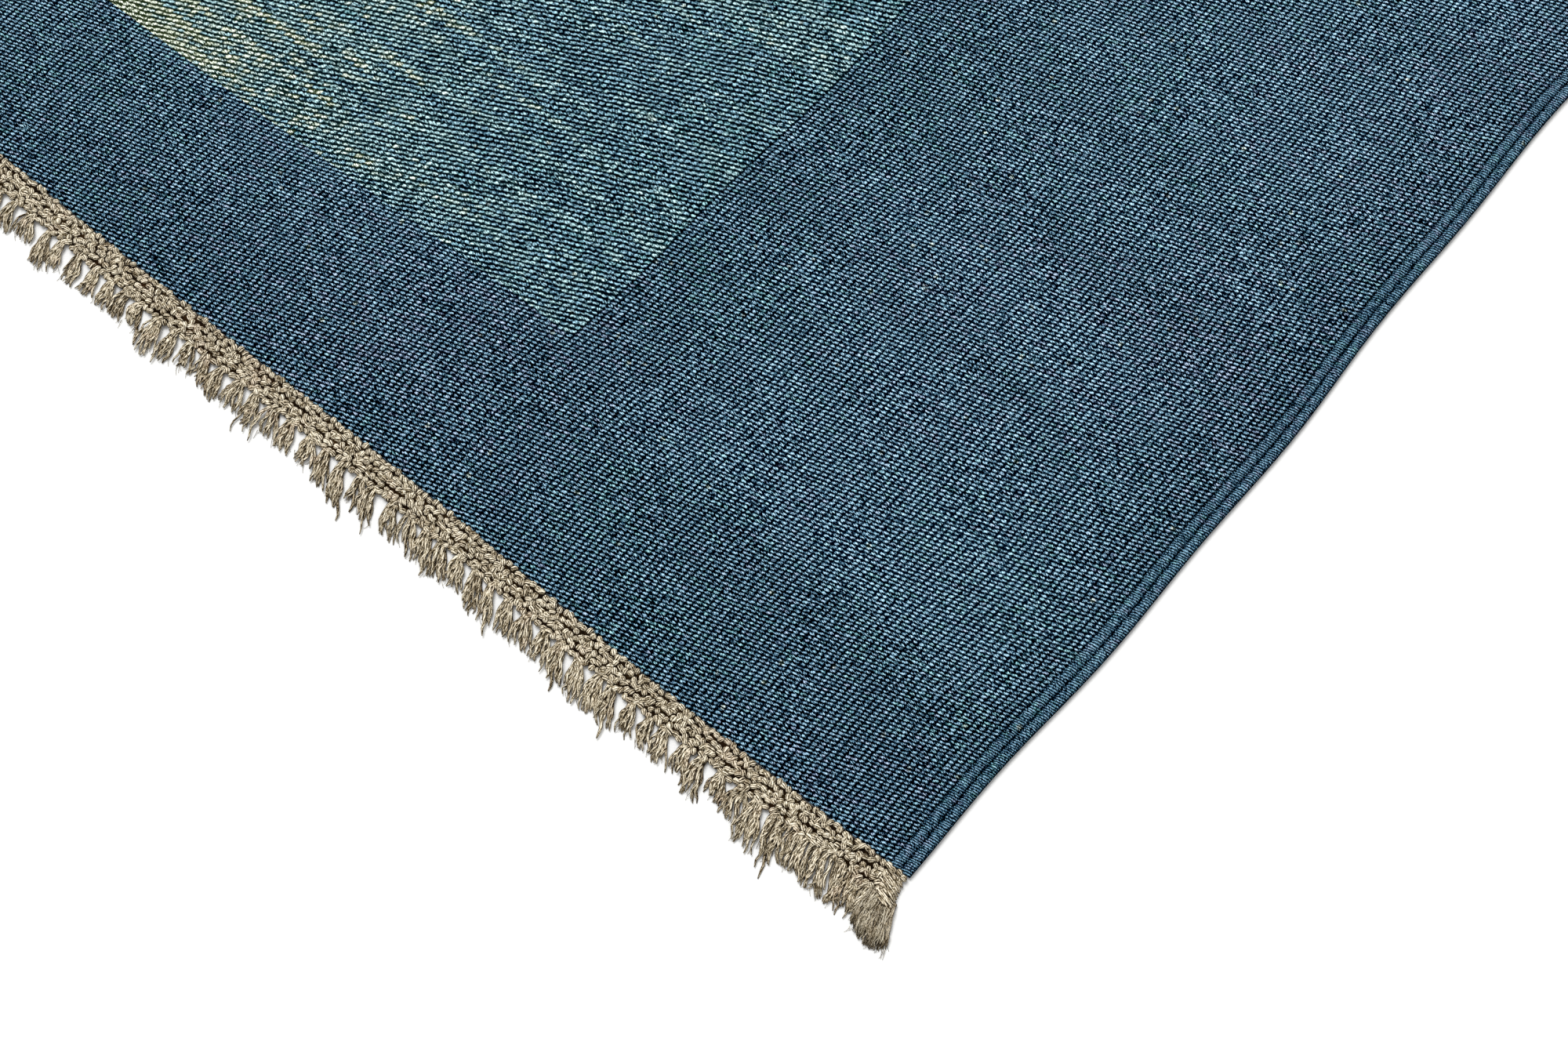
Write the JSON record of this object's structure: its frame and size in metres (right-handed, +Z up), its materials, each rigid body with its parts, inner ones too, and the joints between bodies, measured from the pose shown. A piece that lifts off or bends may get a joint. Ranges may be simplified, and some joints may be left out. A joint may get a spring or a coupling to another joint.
{
  "type": "kilim rug",
  "caption": "Flat-woven wool kilim rug lying open, with corded selvedges, a knotted undyed band at each end and a short fringe.",
  "frame": {"origin": "under the middle of the rug's bounding box, on the floor it lies on", "axes": "+X along the weft, across the rug from selvedge to selvedge; +Y along the warp, from one fringed end to the other; +Z up, the face side"},
  "size_m": [1.722, 2.476, 0.0036],
  "materials": {
    "blue_wool": "matte hand-spun wool, dyed heathered indigo and teal blue",
    "undyed_wool": "matte plied wool, undyed taupe"
  },
  "bodies": {
    "root": {"cloth": "blue_wool", "fringe_front": "undyed_wool", "fringe_back": "undyed_wool"}
  },
  "joints": []
}
